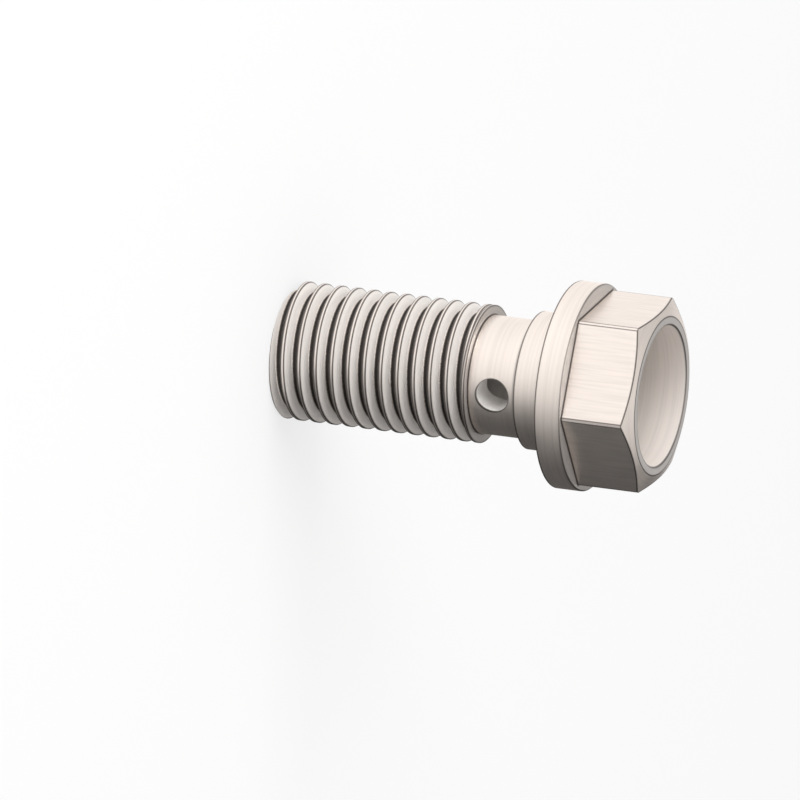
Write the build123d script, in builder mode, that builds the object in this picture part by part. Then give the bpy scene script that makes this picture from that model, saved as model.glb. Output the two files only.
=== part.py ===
from build123d import *
import math
import os

# A banjo bolt with an M12 x 1.5 thread, turned in one piece from hexagon bar.
# The axis is Z, the head is up, and the origin is the middle of the sealing
# face under the flange. The cross hole runs along Y, through the neck.

# Thread
thread_diameter = 12.0
thread_pitch = 1.5
thread_length = 18.0
thread_depth = 0.8
thread_crest = 0.25
thread_flank_angle = 30.0
thread_end_chamfer = 0.3
groove_lead_in = 2.03
groove_pieces_per_turn = 4

# Neck, where the fluid leaves the bolt
neck_diameter = 10.3
neck_length = 4.5

# Shoulder, which centres the fitting's eye
shoulder_diameter = 12.0
shoulder_length = 3.05

# Flange, which presses on the sealing washer
flange_diameter = 18.0
flange_thickness = 2.3

# Hexagon, with turned corners and a coned top
hex_across_flats = 15.0
hex_across_corners = 17.15
hex_height = 6.1
hex_top_diameter = 13.75
hex_cone_angle = 20.0

# Round recess in the head, flat at its floor
recess_diameter = 12.2
recess_depth = 5.5

# Fluid passages: a blind bore from the thread end, crossed by a hole through the neck
bore_diameter = 4.5
bore_past_hole = 0.5
drill_point_angle = 118.0
cross_hole_diameter = 3.0

# Broken edges
bore_mouth_chamfer = 0.3
edge_break = 0.12

# Heights worked out from the sizes above, with the sealing face at zero
shoulder_bottom = -shoulder_length
neck_bottom = shoulder_bottom - neck_length
thread_bottom = neck_bottom - thread_length
cross_hole_height = shoulder_bottom - neck_length / 2
hex_top = flange_thickness + hex_height
recess_floor = hex_top - recess_depth
bore_top = cross_hole_height + cross_hole_diameter / 2 + bore_past_hole


def turned_hexagon():
    """The hexagon between the flange and the top: a prism cut by the turning tool."""
    corner_radius = hex_across_corners / 2
    top_radius = hex_top_diameter / 2
    cone_drop = (corner_radius - top_radius) * math.tan(math.radians(hex_cone_angle))
    with BuildPart() as hexagon:
        with BuildSketch(Plane.XY.offset(flange_thickness)):
            RegularPolygon(hex_across_flats / 2, 6, major_radius=False, rotation=30)
        extrude(amount=hex_height)
        with BuildSketch(Plane.XZ):
            with BuildLine():
                Polyline(
                    (0, flange_thickness),
                    (corner_radius, flange_thickness),
                    (corner_radius, hex_top - cone_drop),
                    (top_radius, hex_top),
                    (0, hex_top),
                    close=True,
                )
            make_face()
        revolve(axis=Axis.Z, mode=Mode.INTERSECT)
    return hexagon.part


def groove_piece(lowest):
    """Part of a turn of the thread's groove, as a solid to cut with, from a height on the +X side."""
    rise = thread_pitch / groove_pieces_per_turn
    thread_radius = thread_diameter / 2
    root_radius = thread_radius - thread_depth
    flank_slope = math.tan(math.radians(thread_flank_angle))
    # the profile goes a little past the crest, but stays clear of the next turn
    overshoot = thread_crest / 4 / flank_slope
    half_mouth = (thread_pitch - thread_crest) / 2
    half_root = half_mouth - thread_depth * flank_slope
    half_outer = half_mouth + overshoot * flank_slope
    with BuildPart() as piece:
        with BuildLine():
            path = Helix(thread_pitch, rise, thread_radius, center=(0, 0, lowest))
        with BuildSketch(Plane.XZ):
            with BuildLine():
                Polyline(
                    (root_radius, lowest - half_root),
                    (thread_radius + overshoot, lowest - half_outer),
                    (thread_radius + overshoot, lowest + half_outer),
                    (root_radius, lowest + half_root),
                    close=True,
                )
            make_face()
        sweep(path=path, is_frenet=True)
    return piece.part


def threaded_end():
    """The threaded length, with one helical groove that runs out at both ends."""
    piece = groove_piece(thread_bottom - groove_lead_in)
    rise = thread_pitch / groove_pieces_per_turn
    turn = 360 / groove_pieces_per_turn
    # a whole turn more than the length needs, so that the groove runs out past the neck's edge
    piece_count = math.ceil((thread_length + groove_lead_in + thread_pitch) / rise)
    places = [
        Location((0, 0, number * rise), (0, 0, number * turn)) for number in range(piece_count)
    ]
    with BuildPart() as threaded:
        with Locations((0, 0, thread_bottom)):
            Cylinder(
                thread_diameter / 2, thread_length, align=(Align.CENTER, Align.CENTER, Align.MIN)
            )
        chamfer(threaded.edges().group_by(Axis.Z)[0], thread_end_chamfer)
        with Locations(places):
            add(piece, mode=Mode.SUBTRACT)
    return threaded.part


with BuildPart() as banjo_bolt:
    # neck, shoulder and flange, turned together
    with BuildSketch(Plane.XZ):
        with BuildLine():
            Polyline(
                (0, neck_bottom),
                (neck_diameter / 2, neck_bottom),
                (neck_diameter / 2, shoulder_bottom),
                (shoulder_diameter / 2, shoulder_bottom),
                (shoulder_diameter / 2, 0),
                (flange_diameter / 2, 0),
                (flange_diameter / 2, flange_thickness - edge_break),
                (flange_diameter / 2 - edge_break, flange_thickness),
                (0, flange_thickness),
                close=True,
            )
        make_face()
    revolve(axis=Axis.Z)
    add(turned_hexagon())
    add(threaded_end())

    # recess in the head, with a broken edge at its mouth
    recess_radius = recess_diameter / 2
    with BuildSketch(Plane.XZ):
        with BuildLine():
            Polyline(
                (0, recess_floor),
                (recess_radius, recess_floor),
                (recess_radius, hex_top - edge_break),
                (recess_radius + edge_break, hex_top),
                (0, hex_top),
                close=True,
            )
        make_face()
    revolve(axis=Axis.Z, mode=Mode.SUBTRACT)

    # blind bore, with a drill point at its end and a chamfer at its mouth
    bore_radius = bore_diameter / 2
    drill_point = bore_radius / math.tan(math.radians(drill_point_angle / 2))
    with BuildSketch(Plane.XZ):
        with BuildLine():
            Polyline(
                (0, thread_bottom),
                (bore_radius + bore_mouth_chamfer, thread_bottom),
                (bore_radius, thread_bottom + bore_mouth_chamfer),
                (bore_radius, bore_top),
                (0, bore_top + drill_point),
                close=True,
            )
        make_face()
    revolve(axis=Axis.Z, mode=Mode.SUBTRACT)

    # cross hole, straight through the neck
    with BuildSketch(Plane.XZ):
        with Locations((0, cross_hole_height)):
            Circle(cross_hole_diameter / 2)
    extrude(amount=neck_diameter, both=True, mode=Mode.SUBTRACT)

banjo_bolt.part.label = "banjo_bolt"

os.makedirs("parts", exist_ok=True)
export_step(banjo_bolt.part, "parts/banjo_bolt.step")
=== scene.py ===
import math

import bpy
from mathutils import Matrix, Vector


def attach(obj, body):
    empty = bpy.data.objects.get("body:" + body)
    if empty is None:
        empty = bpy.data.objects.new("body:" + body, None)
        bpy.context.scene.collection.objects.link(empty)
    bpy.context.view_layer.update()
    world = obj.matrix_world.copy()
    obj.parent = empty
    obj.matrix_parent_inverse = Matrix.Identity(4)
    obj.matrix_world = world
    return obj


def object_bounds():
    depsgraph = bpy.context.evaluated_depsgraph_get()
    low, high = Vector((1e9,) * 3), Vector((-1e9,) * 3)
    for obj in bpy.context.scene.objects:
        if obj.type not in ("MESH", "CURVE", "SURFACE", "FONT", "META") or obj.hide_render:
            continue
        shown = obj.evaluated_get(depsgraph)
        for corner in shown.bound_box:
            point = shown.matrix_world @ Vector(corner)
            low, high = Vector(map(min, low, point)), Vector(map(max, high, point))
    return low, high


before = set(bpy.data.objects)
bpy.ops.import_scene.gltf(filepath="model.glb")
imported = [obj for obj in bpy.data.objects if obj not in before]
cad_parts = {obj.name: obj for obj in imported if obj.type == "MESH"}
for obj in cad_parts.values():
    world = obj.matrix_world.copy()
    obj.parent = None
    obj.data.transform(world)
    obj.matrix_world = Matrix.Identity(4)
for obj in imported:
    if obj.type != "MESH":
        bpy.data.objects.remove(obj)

# Names that end in _MM are millimetres, _PX are pixels of the picture and _M are metres.
# Colours are linear, and angles are degrees.
MM = 0.001

# The picture's view: its scale, where the camera stands, how far it is rolled, and its lens
FRAME_PX = 800
PX_PER_MM = 11.636
VIEW_AZIMUTH = -21.15
VIEW_ELEVATION = 19.24
VIEW_ROLL = 7.22
HEX_BASE_PX = (595.36, 387.61)
LENS_MM = 1400.0
SENSOR_MM = 36.0
NEAREST_SEEN_M = 0.01

# Heights along the bolt, with the sealing face at zero
HEX_TOP_MM = 8.4
RECESS_FLOOR_MM = 2.9
FLANGE_TOP_MM = 2.3
SHOULDER_BOTTOM_MM = -3.05
CROSS_HOLE_HEIGHT_MM = -5.3
NECK_BOTTOM_MM = -7.55
END_CHAMFER_TOP_MM = -25.25

# Radii, half the hexagon's width across its flats, its angles, and the broken edge at the recess
FLANGE_RADIUS_MM = 9.0
HEX_HALF_WIDTH_MM = 7.5
HEX_CORNER_RADIUS_MM = 8.575
HEX_TOP_RADIUS_MM = 6.875
HEX_CONE_ANGLE = 20.0
HEX_SIDE_TURN = 60.0
RECESS_RADIUS_MM = 6.1
EDGE_BREAK_MM = 0.12
SHOULDER_RADIUS_MM = 6.0
NECK_RADIUS_MM = 5.15
THREAD_RADIUS_MM = 6.0
CROSS_HOLE_RADIUS_MM = 1.5

# The thread's groove: its pitch, its crest, its flanks, the height of its middle where it starts
# on the +X side, and half its width at the mouth and at the root
THREAD_PITCH_MM = 1.5
THREAD_CREST_MM = 0.25
FLANK_ANGLE = 30.0
GROOVE_START_MM = -27.58
GROOVE_HALF_MOUTH_MM = 0.625
GROOVE_HALF_ROOT_MM = 0.163

# The collar, which closes the thread's last turn to a full ring at the neck, a hair inside the
# solid's own faces
COLLAR_SINK_MM = 0.01
COLLAR_ROOTED_MM = 0.05
COLLAR_STEPS = 256
SHARP_ANGLE = 25.0

# Steel: a pale warm satin, less metallic where a face was cut square and points up. Painted shade
# darkens those faces, the thread's root and the recess's depths
STEEL = (0.96, 0.868, 0.80)
UP_FACE_SHADE_STEEL = (0.52, 0.487, 0.462)
RECESS_STEEL = (0.89, 0.83, 0.785)
# the recess's steel, painted darker towards its floor as painted shade
RECESS_DEEP_SHADE = (0.62, 0.58, 0.545)
BORE_STEEL = (0.98, 0.95, 0.92)
FLANK_STEEL = (0.98, 0.915, 0.865)
THREAD_SHADE = (0.05, 0.044, 0.04)
SHADE_LINE = (0.16, 0.14, 0.13)
BLACK = (0.0, 0.0, 0.0)
STEEL_ROUGHNESS = 0.40
ROUGHNESS_RANGE = 0.14
RECESS_ROUGHNESS = 0.5
BORE_ROUGHNESS = 0.6
FLANK_ROUGHNESS = 0.36
THREAD_SHADE_ROUGHNESS = 0.55
FACED_METALLIC = 0.4
RECESS_METALLIC = 0.25
FLANK_METALLIC = 0.12
BORE_METALLIC = 0.0
ANISOTROPY = 0.35

# Fine marks of the tool, and the bump that they make
MARK_CONTRAST = 0.09
MARK_HEIGHT_MM = 0.008
FEED_WAVES = 4.0
DRAWN_WAVES = 5.0
BLOTCH_WAVES = 0.35
SPECKLE_WAVES = 9.0
MARK_DETAIL = 4.0
BLOTCH_DETAIL = 3.0
SPECKLE_DETAIL = 2.0
MARK_SHADE_RANGE = (0.35, 0.75)
FEED_WAVER = 0.03
DRAWN_ACROSS = 8.0
DRAWN_WAVER = 0.04

# Painted shade: dark hairlines along the edges and in the corners between faces, the share of their
# width where flats meet the cone, and the reach of the thread's painted shade about its groove's middle
LINE_STRENGTH = 0.95
LINE_WIDTH_MM = 0.17
CREST_LINE_MM = 0.12
SCALLOP_SHARE = 0.8
THREAD_SHADE_LOW_MM = -0.09
THREAD_SHADE_HIGH_MM = 0.62
THREAD_SHADE_SOFT_MM = 0.07
THREAD_SHADE_CREEP_MM = 0.10

# Where a mask turns on or off: from one offset to another beside the edge that it belongs to
FLAT_FADE_MM = (-0.03, -0.01)
SCALLOP_FADE_MM = (-0.10, -0.04)
CORNER_FADE_MM = (-0.25, -0.15)
RIM_FADE_MM = (-0.35, -0.2)
CREST_FADE_MM = (-0.15, -0.05)
CREST_FOOT_FADE_MM = (-0.05, 0.0)
THREAD_TOP_FADE_MM = (-0.01, 0.01)
CHAMFER_FADE_MM = (0.03, 0.06)
CHAMFER_TOP_FADE_MM = (0.0, 0.05)
RECESS_WALL_FADE_MM = (0.02, 0.1)
RECESS_FLOOR_FADE_MM = (-0.1, 0.0)
BORE_WALL_FADE_MM = (-0.3, -0.05)

# How far masks stop short of an edge, and how softly
TOUCH_MM = 0.02
GROOVE_SHORT_MM = 0.04
RIM_INSIDE_MM = 0.05
BORE_SHORT_MM = 0.2

# The share of a face's direction along the axis from which it counts as square to the axis
SQUARE_RANGE = (0.96, 0.99)

# Studio. The heights at the horizon are the upward share of a ray's direction
FLOOR_COLOUR = 0.93
FLOOR_GLOW = 0.7
FLOOR_SIZE_M = 3.0
WORLD_LEVEL = 0.53
HORIZON_LEVEL = 0.905
HORIZON_PALE_TO = 0.12
HORIZON_GONE_AT = 0.25
KEY_WATTS = 2.05
KEY_SIZE_M = 0.4
KEY_PLACE_M = (-0.426, -0.144, 0.23)
TOP_WATTS = 1.55
TOP_SIZE_M = 0.8
TOP_PLACE_M = (-0.1, 0.0, 0.8)
CARD_NEAR_M = 0.0065
CARD_AWAY_M = 0.024
CARD_LIFT_M = 0.0002
CARD_DEPTH_M = 0.30
CARD_HEIGHT_M = 0.08
CARD_LIGHT = 0.85
CARD_DARK = 0.07
CARD_LIGHT_AT_M = 0.07
CARD_DARK_AT_M = 0.0

cad_low, cad_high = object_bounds()
FLOOR = cad_low.z


def view_directions():
    """The way back to the camera, and the level way across its view."""
    azimuth = math.radians(VIEW_AZIMUTH)
    elevation = math.radians(VIEW_ELEVATION)
    back = Vector((
        math.sin(azimuth) * math.cos(elevation),
        -math.cos(azimuth) * math.cos(elevation),
        math.sin(elevation),
    ))
    sideways = Vector((math.cos(azimuth), math.sin(azimuth), 0))
    return back, sideways


def make_camera():
    """A long lens, nearly a parallel view, that sees the bolt as the picture does."""
    back, sideways = view_directions()
    roll = math.radians(VIEW_ROLL)
    # the picture is turned so that the bolt's axis runs almost level, with its head to the right
    axis = back.cross(sideways)
    right = math.cos(roll) * axis - math.sin(roll) * sideways
    up = -math.sin(roll) * axis - math.cos(roll) * sideways
    metres_per_px = MM / PX_PER_MM
    hex_base = Vector((0, 0, FLANGE_TOP_MM * MM))
    middle = hex_base - metres_per_px * (
        (HEX_BASE_PX[0] - FRAME_PX / 2) * right + (FRAME_PX / 2 - HEX_BASE_PX[1]) * up
    )
    data = bpy.data.cameras.new("camera")
    data.lens = LENS_MM
    data.sensor_width = SENSOR_MM
    distance = FRAME_PX * metres_per_px * LENS_MM / SENSOR_MM
    data.clip_start = NEAREST_SEEN_M
    data.clip_end = 2 * distance
    camera = bpy.data.objects.new("camera", data)
    turn = Matrix((right, up, back)).transposed().to_4x4()
    camera.matrix_world = Matrix.Translation(middle + distance * back) @ turn
    bpy.context.scene.collection.objects.link(camera)
    bpy.context.scene.camera = camera


class Nodes:
    """A node tree, written as formulas. Values are numbers or other nodes' sockets."""

    def __init__(self, owner):
        owner.use_nodes = True
        self.tree = owner.node_tree

    def add(self, kind, **settings):
        node = self.tree.nodes.new(kind)
        for name, value in settings.items():
            setattr(node, name, value)
        return node

    def put(self, socket, value):
        """Link another node's socket, or set a plain value."""
        if isinstance(value, bpy.types.NodeSocket):
            self.tree.links.new(value, socket)
        elif isinstance(value, tuple) and len(value) == 3 and socket.type == "RGBA":
            socket.default_value = (*value, 1)
        else:
            socket.default_value = value

    def work(self, operation, *values):
        """What one Math node makes of its values."""
        node = self.add("ShaderNodeMath", operation=operation)
        for socket, value in zip(node.inputs, values):
            self.put(socket, value)
        return node.outputs[0]

    def distance(self, across, along):
        """The length of a step across and a step along."""
        squares = (self.work("MULTIPLY", side, side) for side in (across, along))
        return self.work("SQRT", self.work("ADD", *squares))

    def step(self, value, low, high):
        """A smooth step: 0 where the value is at or under low, 1 where it is at or over high."""
        node = self.add("ShaderNodeMapRange", interpolation_type="SMOOTHSTEP")
        for name, number in (("Value", value), ("From Min", low), ("From Max", high)):
            self.put(node.inputs[name], number)
        return node.outputs[0]

    def without(self, mask):
        return self.work("SUBTRACT", 1.0, mask)

    def under(self, value, low, high):
        """A smooth step down: 1 where the value is at or under low, 0 where it is at or over high."""
        return self.without(self.step(value, low, high))

    def up_beside(self, value, edge, offsets):
        """A smooth step up, between two offsets from an edge."""
        low, high = offsets
        return self.step(value, edge + low, edge + high)

    def down_beside(self, value, edge, offsets):
        """A smooth step down, between two offsets from an edge."""
        return self.without(self.up_beside(value, edge, offsets))

    def both(self, *masks):
        """Where all the masks hold: their product."""
        product = masks[0]
        for mask in masks[1:]:
            product = self.work("MULTIPLY", product, mask)
        return product

    def either(self, *masks):
        """Where any of the masks holds: the greatest of them."""
        greatest = masks[0]
        for mask in masks[1:]:
            greatest = self.work("MAXIMUM", greatest, mask)
        return greatest

    def band(self, value, low, high, soft):
        """Where the value lies between low and high."""
        return self.both(
            self.step(value, low - soft, low + soft),
            self.under(value, high - soft, high + soft),
        )

    def hairline(self, away, width=LINE_WIDTH_MM):
        """A thin line where a distance is nothing: full to a third of its width, and gone beyond it."""
        return self.under(away, width / 3, width)

    def vector(self, x, y, z):
        node = self.add("ShaderNodeCombineXYZ")
        for socket, value in zip(node.inputs, (x, y, z)):
            self.put(socket, value)
        return node.outputs[0]

    def noise(self, vector, scale, detail):
        """Noise from 0 to 1 at so many waves to a unit of the vector."""
        node = self.add("ShaderNodeTexNoise")
        for name, value in (("Vector", vector), ("Scale", scale), ("Detail", detail)):
            self.put(node.inputs[name], value)
        return node.outputs["Fac"]

    def blend(self, factor, first, second, kind="FLOAT"):
        """The first value where the factor is 0, and the second where it is 1."""
        node = self.add("ShaderNodeMix", data_type=kind)
        sockets = [socket for socket in node.inputs if socket.enabled]
        for socket, value in zip(sockets, (factor, first, second)):
            self.put(socket, value)
        return next(socket for socket in node.outputs if socket.enabled)

    def tint(self, factor, first, second):
        return self.blend(factor, first, second, kind="RGBA")

    def seen(self):
        """1 for what the eye, mirrors and glass see, and 0 for the light that falls on things."""
        path = self.add("ShaderNodeLightPath")
        names = ("Is Camera Ray", "Is Glossy Ray", "Is Transmission Ray")
        return self.either(*[path.outputs[name] for name in names])


class Shading(Nodes):
    """A material, with its shader and its output at hand."""

    def __init__(self, name):
        self.material = bpy.data.materials.new(name)
        super().__init__(self.material)
        self.shader = self.tree.nodes["Principled BSDF"]
        self.output = self.tree.nodes["Material Output"]


class BoltShading(Shading):
    """A material that knows where on the bolt each point lies, in millimetres."""

    def __init__(self, name):
        super().__init__(name)
        place = self.add("ShaderNodeTexCoord")
        in_mm = self.add("ShaderNodeVectorMath", operation="SCALE")
        self.put(in_mm.inputs[0], place.outputs["Object"])
        self.put(in_mm.inputs["Scale"], 1 / MM)
        self.point = in_mm.outputs[0]
        split = self.add("ShaderNodeSeparateXYZ")
        self.put(split.inputs[0], self.point)
        self.x, self.y, self.z = split.outputs
        self.radius = self.distance(self.x, self.y)
        self.angle = self.work("ARCTAN2", self.y, self.x)
        facing = self.add("ShaderNodeSeparateXYZ")
        self.put(facing.inputs[0], place.outputs["Normal"])
        self.faces_up = self.step(facing.outputs["Z"], *SQUARE_RANGE)
        self.faces_axis = self.step(self.work("ABSOLUTE", facing.outputs["Z"]), *SQUARE_RANGE)
        # the hexagon's first flat faces along X, and its corners lie between its flats
        self.flat_reach = self.furthest(0)
        self.corner_reach = self.furthest(HEX_SIDE_TURN / 2)

    def furthest(self, first_turn):
        """How far a point lies out along the nearest of six ways, one for each side of the hexagon."""
        reaches = []
        for number in range(3):
            turn = math.radians(first_turn + HEX_SIDE_TURN * number)
            reach = self.work(
                "ADD",
                self.work("MULTIPLY", self.x, math.cos(turn)),
                self.work("MULTIPLY", self.y, math.sin(turn)),
            )
            reaches.append(self.work("ABSOLUTE", reach))
        return self.either(*reaches)

    def ring(self, radius, height, width):
        """A hairline about the bolt's axis."""
        across = self.work("SUBTRACT", self.radius, radius)
        along = self.work("SUBTRACT", self.z, height)
        return self.hairline(self.distance(across, along), width)


def turned_shade_lines(steel):
    """Dark hairlines painted along the turned edges and into the corners between them: painted shade.
    """
    # radius, height and width, in shares of the usual line
    rings = (
        (FLANGE_RADIUS_MM, 0.0, 1.0),
        (FLANGE_RADIUS_MM, FLANGE_TOP_MM, 1.0),
        (SHOULDER_RADIUS_MM, SHOULDER_BOTTOM_MM, 1.0),
        (SHOULDER_RADIUS_MM, 0.0, 2.0),
        (NECK_RADIUS_MM, SHOULDER_BOTTOM_MM, 3.0),
        (NECK_RADIUS_MM, NECK_BOTTOM_MM, 1.0),
        (THREAD_RADIUS_MM, NECK_BOTTOM_MM, 1.0),
        (THREAD_RADIUS_MM, NECK_BOTTOM_MM - THREAD_CREST_MM, 0.7),
        (HEX_TOP_RADIUS_MM, HEX_TOP_MM, 0.6),
        (RECESS_RADIUS_MM + EDGE_BREAK_MM / 2, HEX_TOP_MM, 1.0),
    )
    lines = [steel.ring(radius, height, share * LINE_WIDTH_MM) for radius, height, share in rings]

    # the whole of the chamfer at the thread's end is painted as dark as a line, as painted shade
    from_chamfer = steel.work(
        "ABSOLUTE",
        steel.work(
            "SUBTRACT",
            steel.work("SUBTRACT", steel.radius, steel.z),
            THREAD_RADIUS_MM - END_CHAMFER_TOP_MM,
        ),
    )
    lines.append(steel.both(
        steel.under(from_chamfer, *CHAMFER_FADE_MM),
        steel.down_beside(steel.z, END_CHAMFER_TOP_MM, CHAMFER_TOP_FADE_MM),
    ))
    return lines


def hexagon_shade_lines(steel):
    """Painted shade lines at the hexagon's foot, beside its turned corners, and where flats meet the
    cone.
    """
    in_hexagon = steel.band(steel.z, FLANGE_TOP_MM + TOUCH_MM, HEX_TOP_MM, TOUCH_MM)
    from_flat = steel.work("SUBTRACT", steel.flat_reach, HEX_HALF_WIDTH_MM)
    from_flange = steel.work("SUBTRACT", steel.z, FLANGE_TOP_MM)
    foot = steel.hairline(steel.distance(from_flat, from_flange))

    cone_slope = math.tan(math.radians(HEX_CONE_ANGLE))
    cone_drop = steel.work(
        "MULTIPLY", steel.work("SUBTRACT", steel.radius, HEX_TOP_RADIUS_MM), cone_slope
    )
    over_cone = steel.work("SUBTRACT", steel.z, steel.work("SUBTRACT", HEX_TOP_MM, cone_drop))
    scallop = steel.both(
        in_hexagon,
        steel.hairline(steel.work("ABSOLUTE", over_cone), SCALLOP_SHARE * LINE_WIDTH_MM),
        steel.up_beside(steel.flat_reach, HEX_HALF_WIDTH_MM, SCALLOP_FADE_MM),
    )

    # half the width of a turned corner, and how far a point lies beside the corner's middle
    half_turn = math.radians(HEX_SIDE_TURN / 2)
    half_side = HEX_HALF_WIDTH_MM * math.tan(half_turn)
    half_flat = math.sqrt(HEX_CORNER_RADIUS_MM ** 2 - HEX_HALF_WIDTH_MM ** 2)
    half_corner = (half_side - half_flat) * math.cos(half_turn)
    beside_squared = steel.work(
        "SUBTRACT",
        steel.work("MULTIPLY", steel.radius, steel.radius),
        steel.work("MULTIPLY", steel.corner_reach, steel.corner_reach),
    )
    beside = steel.work("SQRT", steel.work("MAXIMUM", beside_squared, 0.0))
    quarter = LINE_WIDTH_MM / 4
    corner = steel.both(
        in_hexagon,
        steel.under(over_cone, *SCALLOP_FADE_MM),
        steel.up_beside(steel.radius, HEX_CORNER_RADIUS_MM, CORNER_FADE_MM),
        steel.band(beside, half_corner - quarter, half_corner + quarter, quarter),
    )
    return [foot, scallop, corner]


def cross_hole_shade_line(steel):
    """A painted shade line round both mouths of the cross hole."""
    from_middle = steel.distance(steel.x, steel.work("SUBTRACT", steel.z, CROSS_HOLE_HEIGHT_MM))
    third = LINE_WIDTH_MM / 3
    inner = CROSS_HOLE_RADIUS_MM - RIM_INSIDE_MM
    outer = CROSS_HOLE_RADIUS_MM + third
    return steel.both(
        steel.up_beside(steel.radius, NECK_RADIUS_MM, RIM_FADE_MM),
        steel.band(from_middle, inner, outer, third),
    )


def thread_masks(steel):
    """The groove's flanks, painted shade in its root and under each turn, and shade lines at crest
    edges.
    """
    # how far a point lies above the middle of the nearest turn of the groove
    turns = steel.work(
        "SUBTRACT",
        steel.work("DIVIDE", steel.work("SUBTRACT", steel.z, GROOVE_START_MM), THREAD_PITCH_MM),
        steel.work("DIVIDE", steel.angle, 2 * math.pi),
    )
    part_turn = steel.work("SUBTRACT", steel.work("FRACT", steel.work("ADD", turns, 0.5)), 0.5)
    above_groove = steel.work("MULTIPLY", part_turn, THREAD_PITCH_MM)
    from_groove = steel.work("ABSOLUTE", above_groove)

    in_groove = steel.both(
        steel.down_beside(steel.z, NECK_BOTTOM_MM, THREAD_TOP_FADE_MM),
        steel.band(steel.radius, NECK_RADIUS_MM, THREAD_RADIUS_MM - GROOVE_SHORT_MM, TOUCH_MM),
        steel.without(steel.faces_axis),
    )
    on_flank = steel.both(
        in_groove, steel.band(from_groove, GROOVE_HALF_ROOT_MM, GROOVE_HALF_MOUTH_MM, TOUCH_MM)
    )

    # the painted shade reaches up under the turn above it, with a slightly ragged edge
    speckle = steel.noise(steel.point, SPECKLE_WAVES, SPECKLE_DETAIL)
    creep = steel.work("MULTIPLY", steel.work("SUBTRACT", speckle, 0.5), THREAD_SHADE_CREEP_MM)
    thread_shade_height = steel.work("ADD", above_groove, creep)
    in_thread_shade = steel.both(in_groove, steel.band(thread_shade_height, THREAD_SHADE_LOW_MM, THREAD_SHADE_HIGH_MM, THREAD_SHADE_SOFT_MM))

    half_line = CREST_LINE_MM / 2
    crest_shade_lines = steel.both(
        steel.down_beside(steel.z, NECK_BOTTOM_MM - THREAD_CREST_MM, CREST_FOOT_FADE_MM),
        steel.up_beside(steel.radius, THREAD_RADIUS_MM, CREST_FADE_MM),
        steel.band(
            from_groove,
            GROOVE_HALF_MOUTH_MM - half_line,
            GROOVE_HALF_MOUTH_MM + half_line,
            CREST_LINE_MM / 3,
        ),
    )
    return on_flank, in_thread_shade, crest_shade_lines


def tool_marks(steel):
    """Fine marks: rings where the steel was turned, and lengthwise lines where the bar was drawn."""
    on_flat = steel.both(
        steel.up_beside(steel.flat_reach, HEX_HALF_WIDTH_MM, FLAT_FADE_MM),
        steel.band(steel.z, FLANGE_TOP_MM + TOUCH_MM / 2, HEX_TOP_MM, TOUCH_MM / 2),
    )
    # slow waves round the turned rings and along the drawn lines keep them from being too even
    around = steel.work("MULTIPLY", steel.work("ADD", steel.x, steel.y), FEED_WAVER)
    feed = steel.noise(steel.vector(steel.radius, steel.z, around), FEED_WAVES, MARK_DETAIL)
    across = steel.work("MULTIPLY", steel.angle, DRAWN_ACROSS)
    along = steel.work("MULTIPLY", steel.z, DRAWN_WAVER)
    drawn = steel.noise(steel.vector(across, 0.0, along), DRAWN_WAVES, MARK_DETAIL)
    return steel.blend(on_flat, feed, drawn)


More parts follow.
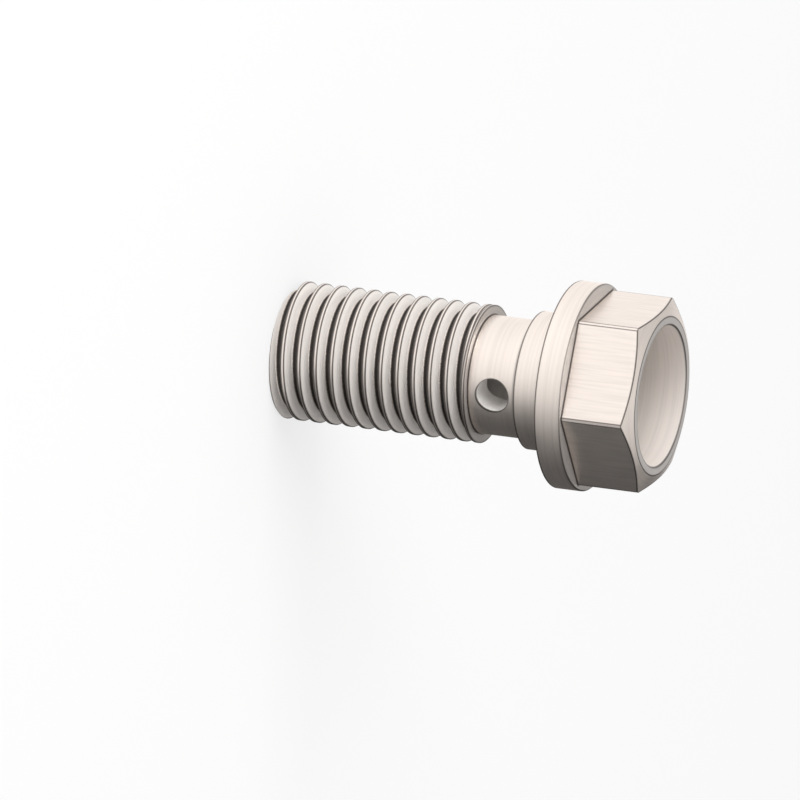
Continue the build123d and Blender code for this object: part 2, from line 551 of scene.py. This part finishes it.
def make_steel():
    """Turned and drawn bar steel: every mark follows the way its own face was cut."""
    steel = BoltShading("bolt_steel")
    in_recess = steel.both(
        steel.down_beside(steel.radius, RECESS_RADIUS_MM, RECESS_WALL_FADE_MM),
        steel.up_beside(steel.z, RECESS_FLOOR_MM, RECESS_FLOOR_FADE_MM),
    )
    # the bore and the cross hole lie inside the neck's own surface
    in_bore = steel.both(
        steel.down_beside(steel.radius, NECK_RADIUS_MM, BORE_WALL_FADE_MM),
        steel.under(steel.z, SHOULDER_BOTTOM_MM, RECESS_FLOOR_MM - BORE_SHORT_MM),
    )
    on_flank, in_thread_shade, crest_shade_lines = thread_masks(steel)
    marks = tool_marks(steel)
    lines = turned_shade_lines(steel) + hexagon_shade_lines(steel) + [cross_hole_shade_line(steel), crest_shade_lines]

    # faces that point up the axis are painted darker: painted shade
    colour = steel.tint(steel.faces_up, STEEL, UP_FACE_SHADE_STEEL)
    # the recess is painted darker towards its floor: painted shade
    depth = steel.step(steel.z, RECESS_FLOOR_MM, HEX_TOP_MM)
    colour = steel.tint(in_recess, colour, steel.tint(depth, RECESS_DEEP_SHADE, RECESS_STEEL))
    colour = steel.tint(in_bore, colour, BORE_STEEL)
    colour = steel.tint(on_flank, colour, FLANK_STEEL)
    # the thread's root and the underside of each turn are painted dark: painted shade
    colour = steel.tint(in_thread_shade, colour, THREAD_SHADE)
    shade = steel.work("MULTIPLY", steel.step(marks, *MARK_SHADE_RANGE), MARK_CONTRAST)
    colour = steel.tint(shade, colour, BLACK)
    # dark hairlines along the edges and in the corners: painted shade
    in_shade_line = steel.work("MULTIPLY", steel.either(*lines), LINE_STRENGTH)
    colour = steel.tint(in_shade_line, colour, SHADE_LINE)
    steel.put(steel.shader.inputs["Base Color"], colour)

    metallic = steel.blend(steel.faces_up, 1.0, FACED_METALLIC)
    metallic = steel.blend(on_flank, metallic, FLANK_METALLIC)
    metallic = steel.blend(in_recess, metallic, RECESS_METALLIC)
    metallic = steel.blend(in_bore, metallic, BORE_METALLIC)
    steel.put(steel.shader.inputs["Metallic"], metallic)

    # slow blotches, as on any handled steel
    blotch = steel.noise(steel.point, BLOTCH_WAVES, BLOTCH_DETAIL)
    half_range = ROUGHNESS_RANGE / 2
    rough = steel.blend(blotch, STEEL_ROUGHNESS - half_range, STEEL_ROUGHNESS + half_range)
    rough = steel.blend(in_recess, rough, RECESS_ROUGHNESS)
    rough = steel.blend(in_bore, rough, BORE_ROUGHNESS)
    rough = steel.blend(on_flank, rough, FLANK_ROUGHNESS)
    rough = steel.blend(in_thread_shade, rough, THREAD_SHADE_ROUGHNESS)
    steel.put(steel.shader.inputs["Roughness"], rough)

    bump = steel.add("ShaderNodeBump")
    steel.put(bump.inputs["Height"], marks)
    steel.put(bump.inputs["Strength"], 1.0)
    steel.put(bump.inputs["Distance"], MARK_HEIGHT_MM * MM)
    steel.put(steel.shader.inputs["Normal"], bump.outputs[0])

    steel.shader.inputs["Anisotropic"].default_value = ANISOTROPY
    tangent = steel.add("ShaderNodeTangent", direction_type="RADIAL", axis="Z")
    steel.put(steel.shader.inputs["Tangent"], tangent.outputs[0])
    return steel.material


def turned_ring(name, section):
    """A ring about the bolt's axis, from the radii and heights of its section in millimetres."""
    corners = len(section)
    points = []
    faces = []
    for step in range(COLLAR_STEPS):
        turn = 2 * math.pi * step / COLLAR_STEPS
        for radius, height in section:
            points.append(MM * Vector((radius * math.cos(turn), radius * math.sin(turn), height)))
        here = step * corners
        further = (step + 1) % COLLAR_STEPS * corners
        for corner in range(corners):
            after = (corner + 1) % corners
            faces.append((here + corner, here + after, further + after, further + corner))
    mesh = bpy.data.meshes.new(name)
    mesh.from_pydata(points, [], faces)
    mesh.shade_smooth()
    mesh.set_sharp_from_angle(angle=math.radians(SHARP_ANGLE))
    piece = bpy.data.objects.new(name, mesh)
    bpy.context.scene.collection.objects.link(piece)
    return piece


def make_collar(steel):
    """The last crest, closed to a full ring, with a flank that runs down to the groove's root."""
    outside = THREAD_RADIUS_MM - COLLAR_SINK_MM
    inside = NECK_RADIUS_MM - COLLAR_ROOTED_MM
    crest_foot = NECK_BOTTOM_MM - THREAD_CREST_MM
    flank_drop = (outside - inside) * math.tan(math.radians(FLANK_ANGLE))
    collar = turned_ring("thread_collar", (
        (inside, NECK_BOTTOM_MM - COLLAR_SINK_MM),
        (outside, NECK_BOTTOM_MM - COLLAR_SINK_MM),
        (outside, crest_foot),
        (inside, crest_foot - flank_drop),
    ))
    collar.data.materials.append(steel)
    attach(collar, "root")


def make_floor():
    """A matt white floor. To mirrors and the eye much of its white is its own, so shadows stay soft."""
    bpy.ops.mesh.primitive_plane_add(size=FLOOR_SIZE_M, location=(0, 0, FLOOR))
    floor = bpy.context.object
    floor.name = "floor"
    white = Shading("floor_white")
    white.put(white.shader.inputs["Base Color"], (FLOOR_COLOUR,) * 3)
    white.put(white.shader.inputs["Roughness"], 1.0)
    white.put(white.shader.inputs["Specular IOR Level"], 0.0)
    glow = white.add("ShaderNodeEmission")
    white.put(glow.inputs["Strength"], 1.0)
    mix = white.add("ShaderNodeMixShader")
    white.put(mix.inputs[0], white.work("MULTIPLY", white.seen(), FLOOR_GLOW))
    white.put(mix.inputs[1], white.shader.outputs[0])
    white.put(mix.inputs[2], glow.outputs[0])
    white.put(white.output.inputs["Surface"], mix.outputs[0])
    floor.data.materials.append(white.material)


def make_card():
    """A folded card beside the bolt, pale towards the camera and dark behind, that only mirrors see.

    One leaf lies on the floor and the other stands up from it. They give the satin steel its dark
    side, as a studio's black card does.
    """
    back, sideways = view_directions()
    forward = Vector((back.x, back.y, 0)).normalized()
    corners = []
    for away, height in ((CARD_NEAR_M, 0), (CARD_AWAY_M, 0), (CARD_AWAY_M, CARD_HEIGHT_M)):
        for depth in (-0.5, 0.5):
            corners.append(
                away * sideways
                + depth * CARD_DEPTH_M * forward
                + Vector((0, 0, FLOOR + CARD_LIFT_M + height))
            )
    mesh = bpy.data.meshes.new("card")
    mesh.from_pydata(corners, [], [(0, 1, 3, 2), (2, 3, 5, 4)])
    card = bpy.data.objects.new("card", mesh)
    bpy.context.scene.collection.objects.link(card)
    card.visible_camera = False
    card.visible_shadow = False
    card.visible_diffuse = False
    grey = Shading("card_grey")
    place = grey.add("ShaderNodeTexCoord")
    along = grey.add("ShaderNodeVectorMath", operation="DOT_PRODUCT")
    grey.put(along.inputs[0], place.outputs["Object"])
    grey.put(along.inputs[1], tuple(forward))
    light = grey.step(along.outputs["Value"], CARD_DARK_AT_M, CARD_LIGHT_AT_M)
    glow = grey.add("ShaderNodeEmission")
    grey.put(glow.inputs["Strength"], grey.blend(light, CARD_DARK, CARD_LIGHT))
    grey.put(grey.output.inputs["Surface"], glow.outputs[0])
    card.data.materials.append(grey.material)


def make_lamp(name, watts, size, place):
    """A square soft light that points at the bolt."""
    data = bpy.data.lights.new(name, "AREA")
    data.size = size
    data.energy = watts
    lamp = bpy.data.objects.new(name, data)
    lamp.location = place
    lamp.rotation_mode = "QUATERNION"
    lamp.rotation_quaternion = lamp.location.to_track_quat("Z", "Y")
    bpy.context.scene.collection.objects.link(lamp)


def make_world():
    """An even grey world. Low down, mirrors and the eye see it as pale as the floor it meets."""
    world = bpy.data.worlds.new("studio")
    sky = Nodes(world)
    place = sky.add("ShaderNodeTexCoord")
    direction = sky.add("ShaderNodeSeparateXYZ")
    sky.put(direction.inputs[0], place.outputs["Generated"])
    low_down = sky.under(direction.outputs["Z"], HORIZON_PALE_TO, HORIZON_GONE_AT)
    level = sky.blend(sky.both(sky.seen(), low_down), WORLD_LEVEL, HORIZON_LEVEL)
    background = sky.tree.nodes["Background"]
    sky.put(background.inputs["Color"], (1.0, 1.0, 1.0))
    sky.put(background.inputs["Strength"], level)
    bpy.context.scene.world = world


bpy.context.scene.view_settings.view_transform = "Standard"
make_camera()
make_world()
make_floor()
make_card()
make_lamp("key", KEY_WATTS, KEY_SIZE_M, KEY_PLACE_M)
make_lamp("top", TOP_WATTS, TOP_SIZE_M, TOP_PLACE_M)

bolt_steel = make_steel()
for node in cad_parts.values():
    node.data.materials.clear()
    node.data.materials.append(bolt_steel)
make_collar(bolt_steel)
